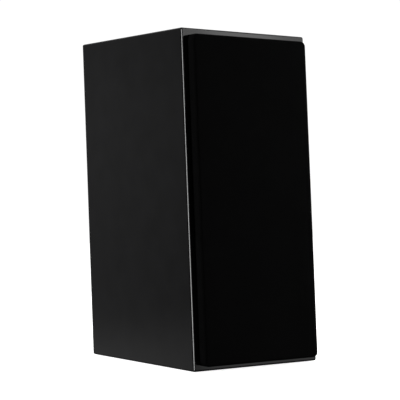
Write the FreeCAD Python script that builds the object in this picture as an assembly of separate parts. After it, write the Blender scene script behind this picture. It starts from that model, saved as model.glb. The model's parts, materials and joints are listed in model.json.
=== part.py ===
"""Two-way bookshelf loudspeaker: lacquered MDF cabinet, pull-off cloth grille, 130 mm woofer, 25 mm dome
tweeter, rear bass port and recessed binding posts.

Millimetres. +Z is up, the front faces -Y and +X is to the right of a listener facing the front.
The origin is the middle of the overall footprint, on the surface that the feet stand on.
"""

import FreeCAD, Part

import math
import os

Vector = FreeCAD.Vector
AXIS_X, AXIS_Y, AXIS_Z = Vector(1, 0, 0), Vector(0, 1, 0), Vector(0, 0, 1)

# ---------------------------------------------------------------- driving dimensions
CABINET_W, CABINET_D, CABINET_H = 157.0, 193.0, 340.0
EDGE_R = 2.0  # round on every outer edge of the cabinet
WALL = 12.0  # side, top, bottom and rear boards
BAFFLE_T = 18.0
FOOT_R, FOOT_H, FOOT_INSET = 6.0, 1.0, 18.0
REAR_TRIM_T = 3.0  # how far the port flange and terminal plate stand off the rear board

GRILLE_W, GRILLE_H, GRILLE_STAND = 143.8, 328.4, 11.5
GRILLE_BOTTOM_MARGIN = 5.2
GRILLE_GAP = 0.5  # air between the grille's back and the baffle
GRILLE_CORNER_R, GRILLE_EDGE_R = 5.5, 2.5
CLOTH_T, CLOTH_FOLD = 0.7, 9.0
RAIL_W, END_RAIL_W, CROSSBAR_H = 11.0, 13.0, 11.0
PEG_R, PEG_OUT, PEG_IN = 3.0, 9.0, 6.0
SOCKET_R, SOCKET_DEPTH = 5.0, 12.0

WOOFER_Z, TWEETER_Z = 124.0, 260.0  # driver centres above the cabinet's underside
PORT_Z, TERMINAL_Z = 250.0, 84.0
BRACE_Z, BRACE_T = 183.0, 9.0

FIT = 0.05  # radial room between parts that are assembled into each other

# ---------------------------------------------------------------- planes worked out from them
OVERALL_D = GRILLE_STAND + CABINET_D + REAR_TRIM_T
BAFFLE_Y = -OVERALL_D / 2 + GRILLE_STAND  # front face of the baffle
REAR_Y = BAFFLE_Y + CABINET_D  # rear face of the cabinet
BASE_Z = FOOT_H  # underside of the cabinet
TOP_Z = BASE_Z + CABINET_H
HALF_W = CABINET_W / 2
INNER_X = HALF_W - WALL
INNER_FRONT_Y, INNER_REAR_Y = BAFFLE_Y + BAFFLE_T, REAR_Y - WALL
INNER_BOTTOM_Z, INNER_TOP_Z = BASE_Z + WALL, TOP_Z - WALL


# ---------------------------------------------------------------- shape helpers
def box(x0, x1, y0, y1, z0, z1):
    return Part.makeBox(x1 - x0, y1 - y0, z1 - z0, Vector(x0, y0, z0))


def rod_y(x, z, radius, y0, y1):
    """A cylinder along Y."""
    return Part.makeCylinder(radius, y1 - y0, Vector(x, y0, z), AXIS_Y)


def rod_z(x, y, radius, z0, z1):
    """A cylinder along Z."""
    return Part.makeCylinder(radius, z1 - z0, Vector(x, y, z0), AXIS_Z)


def ring_y(x, z, inner, outer, y0, y1):
    return rod_y(x, z, outer, y0, y1).cut(rod_y(x, z, inner, y0 - 1, y1 + 1))


def slab_y(width, height, radius, y0, y1, zc, xc=0.0):
    """A plate with round corners, width by height, between two Y planes."""
    plate = box(xc - width / 2, xc + width / 2, y0, y1, zc - height / 2, zc + height / 2)
    upright = [e for e in plate.Edges if along(e, AXIS_Y)]
    return plate.makeFillet(radius, upright)


def along(edge, axis):
    return isinstance(edge.Curve, Part.Line) and abs(abs(edge.tangentAt(edge.FirstParameter).dot(axis)) - 1) < 1e-6


def edges_on_plane_y(shape, y):
    """Every edge that lies whole in one Y plane."""
    return [e for e in shape.Edges if abs(e.BoundBox.YMin - y) < 1e-6 and abs(e.BoundBox.YMax - y) < 1e-6]


def prism(points, direction):
    """Points in space, in order, swept along a direction."""
    return Part.Face(Part.makePolygon(points + points[:1])).extrude(direction)


def turned(profile, z, face_y=BAFFLE_Y, x=0.0):
    """A body of revolution about the Y line at (x, z). The profile is a closed list of (radius, depth behind
    face_y), in which a (radius, depth, "via") entry is the middle point of an arc between its neighbours."""
    at = lambda p: Vector(x + p[0], face_y + p[1], z)
    edges = []
    points = profile + profile[:1]
    i = 0
    while i < len(points) - 1:
        if len(points[i + 1]) == 3:
            edges.append(Part.Arc(at(points[i]), at(points[i + 1]), at(points[i + 2])).toShape())
            i += 2
        else:
            edges.append(Part.LineSegment(at(points[i]), at(points[i + 1])).toShape())
            i += 1
    return Part.Face(Part.Wire(edges)).revolve(Vector(x, face_y, z), AXIS_Y, 360)


def cap_profile(base_r, rise, thick, base_d):
    """The half section of a thin spherical cap, for turned(). It bulges towards the front."""
    sphere_r = (base_r**2 + rise**2) / (2 * rise)
    centre_d = base_d - rise + sphere_r

    def on(radius, r, *kind):
        return (r, centre_d - math.sqrt(radius**2 - r**2), *kind)

    inner_r = sphere_r - thick
    inner_base = math.sqrt(inner_r**2 - (sphere_r - rise) ** 2)
    return [on(sphere_r, 0), on(sphere_r, base_r / 2, "via"), on(sphere_r, base_r), on(inner_r, inner_base),
            on(inner_r, inner_base / 2, "via"), on(inner_r, 0)]


def about_y(shape, x, z, degrees):
    copy = shape.copy()
    copy.rotate(Vector(x, 0, z), AXIS_Y, degrees)
    return copy


def spread(count, start=0.0):
    return [start + 360.0 * i / count for i in range(count)]


def polar(radius, degrees):
    """(x, z) offsets of a point on a circle seen from the front."""
    return radius * math.cos(math.radians(degrees)), radius * math.sin(math.radians(degrees))


def cut_all(shape, tools):
    return shape.cut(Part.makeCompound(tools)) if tools else shape


def hex_prism_y(x, z, across_flats, y0, y1):
    corner = across_flats / math.sqrt(3)
    points = [Vector(x + corner * math.cos(math.radians(a)), y0, z + corner * math.sin(math.radians(a)))
              for a in spread(6)]
    return prism(points, Vector(0, y1 - y0, 0))


def wire_path(points):
    """Straight runs joined by tangent arcs, each arc as large as its two runs allow."""
    points = [Vector(*p) for p in points]
    edges, start, radii = [], points[0], []
    for before, corner, after in zip(points, points[1:], points[2:]):
        to_back, to_next = (before - corner), (after - corner)
        reach = 0.45 * min(to_back.Length, to_next.Length)
        to_back.normalize()
        to_next.normalize()
        half_turn = (math.pi - to_back.getAngle(to_next)) / 2
        radii.append(reach / math.tan(half_turn))
        bisector = to_back + to_next
        bisector.normalize()
        middle = corner + bisector * (radii[-1] / math.cos(half_turn) - radii[-1])
        a, b = corner + to_back * reach, corner + to_next * reach
        edges.append(Part.LineSegment(start, a).toShape())
        edges.append(Part.Arc(a, middle, b).toShape())
        start = b
    edges.append(Part.LineSegment(start, points[-1]).toShape())
    return Part.Wire(edges), radii


def tube_along(path, start, direction, radius):
    section = Part.Wire(Part.Circle(start, direction, radius).toShape())
    tube = path.makePipeShell([section], True, False, 2)
    return tube if isinstance(tube, Part.Solid) else Part.Solid(tube.Shells[0])


def wire_tube(name, points, radius):
    """An insulated lead along a route. Prints its tightest bend and how its volume compares with section x length."""
    path, radii = wire_path(points)
    tube = tube_along(path, Vector(*points[0]), Vector(*points[1]) - Vector(*points[0]), radius)
    expected = math.pi * radius**2 * path.Length
    print(f"{name}: length {path.Length:.0f}, tightest bend {min(radii):.1f}, volume ratio {tube.Volume / expected:.4f}")
    return tube


# ---------------------------------------------------------------- fasteners
WOOD_SCREW = dict(head_r=3.4, head_h=2.0, shank_r=1.8, length=16.0, hex_af=2.5, hex_depth=1.2)
SMALL_SCREW = dict(head_r=2.7, head_h=1.6, shank_r=1.4, length=11.0, hex_af=2.0, hex_depth=1.0)


def screw(kind, x, z, seat_y, inward):
    """A socket-head wood screw along Y. seat_y is the underside of its head, inward is +1 or -1 along Y."""
    tip_y, top_y = seat_y + inward * kind["length"], seat_y - inward * kind["head_h"]
    head = rod_y(x, z, kind["head_r"], min(seat_y, top_y), max(seat_y, top_y))
    rim = [e for e in edges_on_plane_y(head, top_y)]
    head = head.makeFillet(kind["head_h"] * 0.45, rim)
    socket_y = top_y + inward * kind["hex_depth"]
    head = head.cut(hex_prism_y(x, z, kind["hex_af"], min(top_y, socket_y), max(top_y, socket_y)))
    taper = kind["shank_r"] * 2
    shank = rod_y(x, z, kind["shank_r"], min(seat_y, tip_y - inward * taper), max(seat_y, tip_y - inward * taper))
    point = Part.makeCone(kind["shank_r"], 0.3, taper, Vector(x, tip_y - inward * taper, z), AXIS_Y * inward)
    return head.fuse([shank, point]).removeSplitter()


def pilot(kind, x, z, seat_y, inward):
    """The hole in a board that a screw of that kind goes into."""
    tip_y = seat_y + inward * (kind["length"] + 1)
    return rod_y(x, z, kind["shank_r"] + FIT, min(seat_y, tip_y), max(seat_y, tip_y))


# ---------------------------------------------------------------- cabinet
WOOFER_AXIS_Z, TWEETER_AXIS_Z = BASE_Z + WOOFER_Z, BASE_Z + TWEETER_Z
PORT_AXIS_Z, TERMINAL_AXIS_Z = BASE_Z + PORT_Z, BASE_Z + TERMINAL_Z

WOOFER_R, WOOFER_FLANGE_T, WOOFER_GASKET_T, WOOFER_HOLE_R = 62.0, 4.0, 1.0, 52.5
WOOFER_SCREW_CIRCLE_R, WOOFER_SCREWS = 57.0, 6
TWEETER_R, TWEETER_FLANGE_T, TWEETER_GASKET_T, TWEETER_HOLE_R = 48.0, 4.0, 0.8, 36.0
TWEETER_SCREW_CIRCLE_R, TWEETER_SCREWS = 42.0, 4
REBATE_GAP = 0.35

PORT_R, PORT_WALL, PORT_LENGTH, PORT_FLARE_R, PORT_FLANGE_R = 20.0, 2.5, 96.0, 9.0, 34.0
CUP_W, CUP_H, CUP_R = 68.0, 50.0, 5.0  # the recess in the terminal plate
CUP_WALL, CUP_DEPTH = 2.5, 26.0
PLATE_W, PLATE_H, PLATE_R = 92.0, 76.0, 6.0
PLATE_SCREW_X, PLATE_SCREW_Z = 40.0, 32.0

GRILLE_Z0 = BASE_Z + GRILLE_BOTTOM_MARGIN
GRILLE_MID_Z = GRILLE_Z0 + GRILLE_H / 2
GRILLE_FRONT_Y, GRILLE_BACK_Y = BAFFLE_Y - GRILLE_STAND, BAFFLE_Y - GRILLE_GAP
PEG_X = GRILLE_W / 2 - CLOTH_T - RAIL_W / 2
PEG_DZ = GRILLE_H / 2 - CLOTH_T - END_RAIL_W / 2


def driver_screw_spots(axis_z, circle_r, count):
    start = 360.0 / count / 2
    return [(dx, axis_z + dz) for dx, dz in (polar(circle_r, a) for a in spread(count, start))]


def woofer_screw_spots():
    return driver_screw_spots(WOOFER_AXIS_Z, WOOFER_SCREW_CIRCLE_R, WOOFER_SCREWS)


def tweeter_screw_spots():
    return driver_screw_spots(TWEETER_AXIS_Z, TWEETER_SCREW_CIRCLE_R, TWEETER_SCREWS)


def plate_screw_spots():
    return [(sx * PLATE_SCREW_X, TERMINAL_AXIS_Z + sz * PLATE_SCREW_Z) for sx in (-1, 1) for sz in (-1, 1)]


def peg_spots():
    return [(sx * PEG_X, GRILLE_MID_Z + sz * PEG_DZ) for sx in (-1, 1) for sz in (-1, 1)]


def cabinet_block():
    block = box(-HALF_W, HALF_W, BAFFLE_Y, REAR_Y, BASE_Z, TOP_Z)
    return block.makeFillet(EDGE_R, block.Edges)


def wrap_boards():
    """The four mitred boards behind the baffle: {name: solid}."""
    cavity = box(-INNER_X, INNER_X, BAFFLE_Y - 1, REAR_Y + 1, INNER_BOTTOM_Z, INNER_TOP_Z)
    behind = box(-HALF_W, HALF_W, BAFFLE_Y + BAFFLE_T, REAR_Y, BASE_Z, TOP_Z)
    tube = cabinet_block().common(behind).cut(cavity)
    y0, run = BAFFLE_Y - 1, Vector(0, CABINET_D + 2, 0)
    out = {-1: -HALF_W - 1, 1: HALF_W + 1}
    low, high = BASE_Z - 1, TOP_Z + 1
    inner_low, inner_high = INNER_BOTTOM_Z, INNER_TOP_Z
    boards = {}
    for name, side in (("side_panel_left", -1), ("side_panel_right", 1)):
        corners = [(out[side], low), (side * INNER_X, inner_low), (side * INNER_X, inner_high), (out[side], high)]
        boards[name] = tube.common(prism([Vector(x, y0, z) for x, z in corners], run))
    for name, outer, inner in (("bottom_panel", low, inner_low), ("top_panel", high, inner_high)):
        corners = [(out[-1], outer), (-INNER_X, inner), (INNER_X, inner), (out[1], outer)]
        boards[name] = tube.common(prism([Vector(x, y0, z) for x, z in corners], run))
    return boards


def front_baffle():
    slab = cabinet_block().common(box(-HALF_W, HALF_W, BAFFLE_Y, BAFFLE_Y + BAFFLE_T, BASE_Z, TOP_Z))
    tools = []
    for axis_z, flange_r, depth, hole_r in (
        (WOOFER_AXIS_Z, WOOFER_R, WOOFER_FLANGE_T + WOOFER_GASKET_T, WOOFER_HOLE_R),
        (TWEETER_AXIS_Z, TWEETER_R, TWEETER_FLANGE_T + TWEETER_GASKET_T, TWEETER_HOLE_R),
    ):
        tools.append(rod_y(0, axis_z, flange_r + REBATE_GAP, BAFFLE_Y - 1, BAFFLE_Y + depth))
        tools.append(rod_y(0, axis_z, hole_r, BAFFLE_Y - 1, BAFFLE_Y + BAFFLE_T + 1))
    tools += [rod_y(x, z, SOCKET_R, BAFFLE_Y - 1, BAFFLE_Y + SOCKET_DEPTH) for x, z in peg_spots()]
    tools += [pilot(WOOD_SCREW, x, z, BAFFLE_Y + WOOD_SCREW["head_h"], 1) for x, z in woofer_screw_spots()]
    tools += [pilot(SMALL_SCREW, x, z, BAFFLE_Y + SMALL_SCREW["head_h"], 1) for x, z in tweeter_screw_spots()]
    return cut_all(slab, tools)


def rear_panel():
    """Set in flush between the four boards, with a fine chamfer that shows as a line round it."""
    panel = box(-INNER_X, INNER_X, INNER_REAR_Y, REAR_Y, INNER_BOTTOM_Z, INNER_TOP_Z)
    panel = panel.makeChamfer(0.6, edges_on_plane_y(panel, REAR_Y))
    cup_hole = slab_y(CUP_W + 2 * CUP_WALL + 1, CUP_H + 2 * CUP_WALL + 1, CUP_R + CUP_WALL, INNER_REAR_Y - 1,
                      REAR_Y + 1, TERMINAL_AXIS_Z)
    tools = [cup_hole, rod_y(0, PORT_AXIS_Z, PORT_R + PORT_WALL + PORT_FLARE_R * 0.55, INNER_REAR_Y - 1, REAR_Y + 1)]
    seat_y = REAR_Y + REAR_TRIM_T - SMALL_SCREW["head_h"]
    tools += [pilot(SMALL_SCREW, x, z, seat_y, -1) for x, z in plate_screw_spots()]
    return cut_all(panel, tools)


def window_brace():
    """A shelf across the middle of the cabinet, with two windows that let the air through."""
    shelf = box(-INNER_X, INNER_X, INNER_FRONT_Y, INNER_REAR_Y, BASE_Z + BRACE_Z, BASE_Z + BRACE_Z + BRACE_T)
    border, rib = 22.0, 16.0
    depth = (INNER_REAR_Y - INNER_FRONT_Y - 2 * border - rib) / 2
    windows = []
    for y0 in (INNER_FRONT_Y + border, INNER_FRONT_Y + border + depth + rib):
        window = box(-INNER_X + border, INNER_X - border, y0, y0 + depth, BASE_Z, TOP_Z)
        windows.append(window.makeFillet(12.0, [e for e in window.Edges if along(e, AXIS_Z)]))
    return cut_all(shelf, windows)


def feet():
    spots = [(sx * (HALF_W - FOOT_INSET), y) for sx in (-1, 1) for y in (BAFFLE_Y + FOOT_INSET, REAR_Y - FOOT_INSET)]
    made = []
    for x, y in spots:
        foot = rod_z(x, y, FOOT_R, 0, FOOT_H)
        rim = [e for e in foot.Edges if abs(e.BoundBox.ZMax) < 1e-6]
        made.append(foot.makeFillet(0.4, rim))
    return Part.makeCompound(made)


def wadding(side):
    """A pad of damping wadding against one side board, above the brace."""
    thick, room = 16.0, 0.5
    outer = INNER_X - room
    x0, x1 = sorted((side * outer, side * (outer - thick)))
    pad = box(x0, x1, INNER_FRONT_Y + 30, INNER_REAR_Y - room, BASE_Z + BRACE_Z + BRACE_T + room, INNER_TOP_Z - room)
    return pad.makeFillet(4.0, pad.Edges)


# ---------------------------------------------------------------- grille
def grille_envelope(inset):
    """The grille's outer form, shrunk by inset on its front and round its sides."""
    block = slab_y(GRILLE_W - 2 * inset, GRILLE_H - 2 * inset, GRILLE_CORNER_R - inset * 0.6,
                   GRILLE_FRONT_Y + inset, GRILLE_BACK_Y, GRILLE_MID_Z)
    return block.makeFillet(GRILLE_EDGE_R - inset * 0.6, edges_on_plane_y(block, GRILLE_FRONT_Y + inset))


def grille_frame():
    """Board frame with a crossbar between the two drivers."""
    frame = grille_envelope(CLOTH_T + FIT)
    frame = frame.cut(box(-GRILLE_W, GRILLE_W, GRILLE_BACK_Y - CLOTH_T - FIT, BAFFLE_Y, 0, TOP_Z))
    y0, y1 = GRILLE_FRONT_Y, BAFFLE_Y
    bar_z0 = BASE_Z + BRACE_Z
    low, high = GRILLE_Z0 + CLOTH_T + END_RAIL_W, GRILLE_Z0 + GRILLE_H - CLOTH_T - END_RAIL_W
    width = GRILLE_W - 2 * CLOTH_T - 2 * RAIL_W
    tools = [slab_y(width, b - a, 8.0, y0, y1, (a + b) / 2) for a, b in ((low, bar_z0), (bar_z0 + CROSSBAR_H, high))]
    tools += [rod_y(x, z, PEG_R + FIT, GRILLE_BACK_Y - CLOTH_T - PEG_IN, BAFFLE_Y) for x, z in peg_spots()]
    return cut_all(frame, tools)


def grille_cloth():
    """Cloth stretched over the frame's front and sides, and folded over its back edge."""
    skin = grille_envelope(0.0)
    pocket = grille_envelope(CLOTH_T).cut(box(-GRILLE_W, GRILLE_W, GRILLE_BACK_Y - CLOTH_T, BAFFLE_Y, 0, TOP_Z))
    opening = slab_y(GRILLE_W - 2 * (CLOTH_T + CLOTH_FOLD), GRILLE_H - 2 * (CLOTH_T + CLOTH_FOLD), 6.0,
                     GRILLE_BACK_Y - CLOTH_T - 1, BAFFLE_Y, GRILLE_MID_Z)
    slots = [rod_y(x, z, PEG_R + 0.3, GRILLE_BACK_Y - CLOTH_T - 1, BAFFLE_Y) for x, z in peg_spots()]
    return cut_all(skin, [pocket, opening] + slots)


def grille_pegs():
    made = []
    for x, z in peg_spots():
        peg = rod_y(x, z, PEG_R, GRILLE_BACK_Y - CLOTH_T - PEG_IN + FIT, BAFFLE_Y + PEG_OUT)
        made.append(peg.makeFillet(1.2, edges_on_plane_y(peg, BAFFLE_Y + PEG_OUT)))
    return Part.makeCompound(made)


def grille_sockets():
    cups = []
    for x, z in peg_spots():
        cup = rod_y(x, z, SOCKET_R - FIT, BAFFLE_Y, BAFFLE_Y + SOCKET_DEPTH - FIT)
        cups.append(cup.cut(rod_y(x, z, PEG_R + 0.1, BAFFLE_Y - 1, BAFFLE_Y + PEG_OUT + 1)))
    return Part.makeCompound(cups)


# ---------------------------------------------------------------- push-on tabs of the two drivers
TAB_LENGTH = 7.0
WOOFER_TAB_D, WOOFER_TAB_X = 46.0, 7.0
TWEETER_TAB_D, TWEETER_TAB_X, TWEETER_TAG_DROP = 26.1, 6.0, 22.0
BARREL_START, BARREL_LENGTH = 9.0, 6.0  # of a connector, from the root of its tab
LEAD_R = 1.1


def connector(x, z, root_depth, half_w, half_h):
    """Push-on connector: a flat sleeve round the tab and a crimped barrel round the lead."""
    y0 = BAFFLE_Y + root_depth
    sleeve = box(x - half_w - 0.8, x + half_w + 0.8, y0 + 1, y0 + BARREL_START, z - half_h - 0.8, z + half_h + 0.8)
    slot = box(x - half_w - FIT, x + half_w + FIT, y0, y0 + TAB_LENGTH + 0.2, z - half_h - FIT, z + half_h + FIT)
    barrel = rod_y(x, z, LEAD_R + 0.5, y0 + BARREL_START - 0.5, y0 + BARREL_START + BARREL_LENGTH)
    bore = rod_y(x, z, LEAD_R + FIT, y0 + BARREL_START + 0.5, y0 + BARREL_START + BARREL_LENGTH + 1)
    return sleeve.fuse(barrel).cut(slot).cut(bore)


def lead_connectors():
    made = []
    for side in (-1, 1):
        made.append(connector(side * WOOFER_TAB_X, WOOFER_AXIS_Z - TAG_DROP - 0.8, WOOFER_TAB_D, 2.4, 0.4))
        made.append(connector(side * TWEETER_TAB_X, TWEETER_AXIS_Z - TWEETER_TAG_DROP, TWEETER_TAB_D, 0.4, 1.6))
    return Part.makeCompound(made)


# ---------------------------------------------------------------- woofer
BASKET_SHELF_R, ROLL_IN_R, ROLL_OUT_R, LIP_T = 48.4, 40.1, 48.9, 0.8
LIP_D = 1.5  # depth of the shelf that the surround is glued to
NECK_R, CONE_RIM_R, CONE_NECK_D, CONE_T = 13.4, 41.0, 24.0, 0.8
FORMER_R, FORMER_T, COIL_T = 13.0, 0.35, 0.7
TOP_PLATE_D, TOP_PLATE_T, MAGNET_T, BACK_PLATE_T = 45.0, 5.0, 16.0, 6.0
SPIDER_D = 31.0
TAG_DROP = 41.5  # the terminal tag's height below the woofer's centre


def woofer(profile):
    return turned(profile, WOOFER_AXIS_Z)


def woofer_frame():
    body = woofer([
        (51.5, 0), (61.2, 0), (62, 0.8), (62, 4), (51.8, 4), (51, 9), (40, 36), (40, 45), (15.5, 45), (15.5, 42.5),
        (37.5, 42.5), (37.5, 33), (33, 33), (33, SPIDER_D), (38.6, SPIDER_D), (BASKET_SHELF_R, 6.5),
        (BASKET_SHELF_R, LIP_D), (51.5, LIP_D),
    ])
    wall_window = box(28, 70, BAFFLE_Y + 11, BAFFLE_Y + 29, WOOFER_AXIS_Z - 15, WOOFER_AXIS_Z + 15)
    wall_window = wall_window.makeFillet(4.0, [e for e in wall_window.Edges if along(e, AXIS_X)])
    ear_z = WOOFER_AXIS_Z - TAG_DROP
    body = body.fuse(box(-8, 8, BAFFLE_Y + 36.5, BAFFLE_Y + 44.5, ear_z, ear_z + 4)).removeSplitter()
    tools = [about_y(wall_window, 0, WOOFER_AXIS_Z, a) for a in spread(6)]
    for x, z in woofer_screw_spots():
        tools.append(rod_y(x, z, WOOD_SCREW["head_r"] + 0.25, BAFFLE_Y - 1, BAFFLE_Y + WOOD_SCREW["head_h"]))
        tools.append(rod_y(x, z, WOOD_SCREW["shank_r"] + 0.2, BAFFLE_Y, BAFFLE_Y + WOOFER_FLANGE_T + 1))
    return cut_all(body, tools)


def driver_gasket(axis_z, inner, outer, depth, thickness, spots, kind):
    ring = ring_y(0, axis_z, inner, outer, BAFFLE_Y + depth, BAFFLE_Y + depth + thickness)
    return cut_all(ring, [rod_y(x, z, kind["shank_r"] + 0.3, BAFFLE_Y, INNER_FRONT_Y) for x, z in spots])


def driver_screws(spots, kind):
    return Part.makeCompound([screw(kind, x, z, BAFFLE_Y + kind["head_h"], 1) for x, z in spots])


def woofer_surround():
    """Rubber half roll with a lip on each side."""
    middle, radius = (ROLL_IN_R + ROLL_OUT_R) / 2, (ROLL_OUT_R - ROLL_IN_R) / 2
    inner_radius = radius - LIP_T
    reach = math.sqrt(radius**2 - LIP_T**2)
    return woofer([
        (38, LIP_D - LIP_T), (middle - reach, LIP_D - LIP_T), (middle, LIP_D - radius, "via"),
        (middle + reach, LIP_D - LIP_T), (51.3, LIP_D - LIP_T), (51.3, LIP_D), (middle + inner_radius, LIP_D),
        (middle, LIP_D - inner_radius, "via"), (middle - inner_radius, LIP_D), (38, LIP_D),
    ])


def cone_depth(radius):
    """Depth of the cone's front surface at a radius."""
    slope = (CONE_NECK_D - LIP_D) / (38.2 - NECK_R)
    return LIP_D + (38.2 - radius) * slope


def woofer_cone():
    return woofer([
        (NECK_R, CONE_NECK_D), (38.2, LIP_D), (CONE_RIM_R, LIP_D), (CONE_RIM_R, LIP_D + CONE_T),
        (38.6, LIP_D + CONE_T), (NECK_R, CONE_NECK_D + 1.2),
    ])


def woofer_dust_cap():
    base_r = 18.0
    return woofer(cap_profile(base_r, rise=5.5, thick=0.6, base_d=cone_depth(base_r) - 0.1))


def woofer_voice_coil():
    """Former tube with its winding, which fills the magnetic gap with room to move."""
    outer = FORMER_R + FORMER_T
    coil_mid = TOP_PLATE_D + TOP_PLATE_T / 2
    return woofer([
        (FORMER_R, 23), (outer, 23), (outer, coil_mid - 6), (outer + COIL_T, coil_mid - 6),
        (outer + COIL_T, coil_mid + 6), (outer, coil_mid + 6), (outer, 57), (FORMER_R, 57),
    ])


def woofer_spider():
    """Corrugated suspension disc between the former and the frame's inner shelf."""
    inner, outer, waves, height, thick = NECK_R, 32.6, 5, 1.1, 0.5
    steps = waves * 2
    crests = []
    for i in range(steps + 1):
        radius = inner + 1.6 + (outer - inner - 1.6) * i / steps
        crests.append((radius, SPIDER_D - thick + (height if i % 2 else -height) * (0 < i < steps)))
    top = [(inner, SPIDER_D - thick)] + crests + [(38.0, SPIDER_D - thick)]
    bottom = [(r, d + thick) for r, d in reversed(top)]
    return woofer(top + bottom)


def woofer_top_plate():
    return woofer([(14.6, TOP_PLATE_D), (36, TOP_PLATE_D), (36, TOP_PLATE_D + TOP_PLATE_T),
                   (14.6, TOP_PLATE_D + TOP_PLATE_T)])


def woofer_magnet():
    d0 = TOP_PLATE_D + TOP_PLATE_T
    d1 = d0 + MAGNET_T
    return woofer([(19, d0), (39.2, d0), (40, d0 + 0.8), (40, d1 - 0.8), (39.2, d1), (19, d1)])


def woofer_pole_and_back_plate():
    d0 = TOP_PLATE_D + TOP_PLATE_T + MAGNET_T
    d1 = d0 + BACK_PLATE_T
    return woofer([(4, 42), (12.4, 42), (12.4, d0), (36, d0), (36, d1 - 1), (35, d1), (6, d1), (4, d1 - 2)])


def woofer_terminal_tag():
    """Small board under the basket with the two push-on tabs."""
    z1 = WOOFER_AXIS_Z - TAG_DROP
    board = box(-12, 12, BAFFLE_Y + 36.5, BAFFLE_Y + WOOFER_TAB_D, z1 - 1.6, z1)
    tab_y0, tab_y1 = BAFFLE_Y + WOOFER_TAB_D, BAFFLE_Y + WOOFER_TAB_D + TAB_LENGTH
    tabs = [box(x - 2.4, x + 2.4, tab_y0, tab_y1, z1 - 1.2, z1 - 0.4) for x in (-WOOFER_TAB_X, WOOFER_TAB_X)]
    return board.fuse(tabs)


# ---------------------------------------------------------------- tweeter
DOME_R, DOME_RISE, DOME_BASE_D = 12.5, 4.2, 7.2


def tweeter(profile):
    return turned(profile, TWEETER_AXIS_Z)


def tweeter_faceplate():
    """Round plate with a shallow horn that the dome sits in."""
    body = tweeter([
        (16.2, 5.6), (21, 2.2, "via"), (32, 0), (47.2, 0), (48, 0.8), (48, TWEETER_FLANGE_T), (34, TWEETER_FLANGE_T),
        (34, 7.5), (16.2, 7.5),
    ])
    tools = []
    for x, z in tweeter_screw_spots():
        tools.append(rod_y(x, z, SMALL_SCREW["head_r"] + 0.25, BAFFLE_Y - 1, BAFFLE_Y + SMALL_SCREW["head_h"]))
        tools.append(rod_y(x, z, SMALL_SCREW["shank_r"] + 0.2, BAFFLE_Y, BAFFLE_Y + TWEETER_FLANGE_T + 1))
    return cut_all(body, tools)


def tweeter_dome():
    return tweeter(cap_profile(DOME_R, DOME_RISE, 0.35, DOME_BASE_D))


def tweeter_surround():
    """Soft roll between the dome and the clamped rim."""
    d, thick = 7.5, 0.3
    return tweeter([
        (DOME_R + 0.15, d - thick), (14.1, d - 1.5, "via"), (15.3, d - thick), (16.1, d - thick), (16.1, d),
        (15.1, d), (14.1, d - 1.1, "via"), (DOME_R + 0.45, d),
    ])


def tweeter_voice_coil():
    return tweeter([(12.4, 7.2), (12.6, 7.2), (12.6, 7.9), (13.0, 7.9), (13.0, 10.8), (12.6, 10.8), (12.6, 11.8),
                    (12.4, 11.8)])


def tweeter_top_plate():
    return tweeter([(13.3, 7.5), (34, 7.5), (34, 10.5), (13.3, 10.5)])


def tweeter_magnet():
    return tweeter([(18, 10.5), (33.4, 10.5), (34, 11.1), (34, 19.9), (33.4, 20.5), (18, 20.5)])


def tweeter_yoke():
    return tweeter([(2.5, 8), (12.1, 8), (12.1, 20.5), (32, 20.5), (32, 23.5), (31, 24.5), (2.5, 24.5)])


def tweeter_terminals():
    z0 = TWEETER_AXIS_Z - TWEETER_TAG_DROP
    tab_y0, tab_y1 = BAFFLE_Y + TWEETER_TAB_D, BAFFLE_Y + TWEETER_TAB_D + TAB_LENGTH
    board = box(-11, 11, tab_y0 - 1.6, tab_y0, z0 - 4, z0 + 4)
    tabs = [box(x - 0.4, x + 0.4, tab_y0, tab_y1, z0 - 1.6, z0 + 1.6) for x in (-TWEETER_TAB_X, TWEETER_TAB_X)]
    return board.fuse(tabs)


# ---------------------------------------------------------------- rear: port and terminals
def port_tube():
    """Flared tube, moulded in one piece with its flange. Depths run inwards from the rear face of the flange."""
    mouth_y = REAR_Y + REAR_TRIM_T
    flare = PORT_FLARE_R
    arc_mid = flare * (1 - math.sqrt(0.5))
    inner, outer = PORT_R, PORT_R + PORT_WALL
    end_flare = 4.0
    end_mid = end_flare * (1 - math.sqrt(0.5))
    length = PORT_LENGTH
    profile = [
        (inner + flare, 0), (inner + arc_mid, -arc_mid, "via"), (inner, -flare), (inner, -(length - end_flare)),
        (inner + end_mid, -(length - end_mid), "via"), (inner + end_flare, -length), (outer + end_flare, -length),
        (outer + end_mid, -(length - end_mid) + 1.6, "via"), (outer, -(length - end_flare) + 2.5),
        (outer, -(REAR_TRIM_T + 14)), (outer + flare * 0.5, -(REAR_TRIM_T + 5)), (outer + flare * 0.5, -REAR_TRIM_T),
        (PORT_FLANGE_R, -REAR_TRIM_T), (PORT_FLANGE_R, -1.2), (PORT_FLANGE_R - 0.35, -0.35, "via"),
        (PORT_FLANGE_R - 1.2, 0),
    ]
    return turned(profile, PORT_AXIS_Z, face_y=mouth_y)


POST_X = 9.5
CUP_FLOOR_Y = REAR_Y + REAR_TRIM_T - CUP_DEPTH
POST_R, POST_BORE_R, POST_BORE_DEPTH, POST_END_Y = 3.0, 2.0, 16.0, REAR_Y + REAR_TRIM_T - 2.0
COLLAR_R, COLLAR_T = 7.2, 3.0
KNOB_R, KNOB_GAP, KNOB_END_Y = 6.75, 0.4, REAR_Y + REAR_TRIM_T - 2.5
SLEEVE_R = 4.3
WIRE_HOLE_R = 1.2
KNOB_START_Y = CUP_FLOOR_Y + COLLAR_T + KNOB_GAP
NUT_AF, NUT_T, LUG_T = 9.0, 3.5, 0.8


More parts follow.
